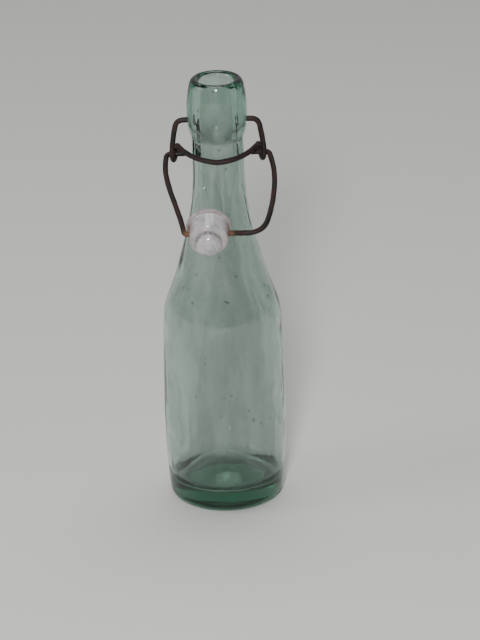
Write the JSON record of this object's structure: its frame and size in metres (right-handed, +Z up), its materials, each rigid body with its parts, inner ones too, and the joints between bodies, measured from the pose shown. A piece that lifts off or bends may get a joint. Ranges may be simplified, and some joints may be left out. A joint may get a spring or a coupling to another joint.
{
  "type": "swing-top bottle",
  "caption": "Old swing-top bottle of pale green glass with a rusted wire closure hanging open and a porcelain stopper.",
  "frame": {"origin": "middle of the flat underside, on the surface the bottle stands on", "axes": "+Z up along the bottle's axis, -Y towards the front where the stopper hangs, X along the lever's pivot"},
  "size_m": [0.0672, 0.0837, 0.245],
  "materials": {
    "green_glass": "polished, slightly rippled",
    "rusted_wire": "dark brown rust, pitted",
    "porcelain": "glazed, with a few specks and rust stains",
    "gasket_rubber": "aged, dull"
  },
  "bodies": {
    "bottle": {"bottle_glass": "green_glass"},
    "lever": {"lever_wire": "rusted_wire"},
    "bail": {"stopper_bail": "rusted_wire"},
    "stopper": {"porcelain_stopper": "porcelain", "rubber_gasket": "gasket_rubber"}
  },
  "joints": [
    {"name": "lever_pivot", "type": "hinge", "parent": "bottle", "child": "lever", "pos_m": [0, 0, 0.2215], "axis": [-1, 0, 0], "range_deg": [0, 96]},
    {"name": "bail_swing", "type": "hinge", "parent": "lever", "child": "bail", "pos_m": [0, 0.0039, 0.20065], "axis": [-1, 0, 0], "range_deg": [0, 50]},
    {"name": "stopper_turn", "type": "hinge", "parent": "bail", "child": "stopper", "pos_m": [-0.006, -0.03622, 0.17014], "axis": [-1, 0, 0], "continuous": true}
  ]
}
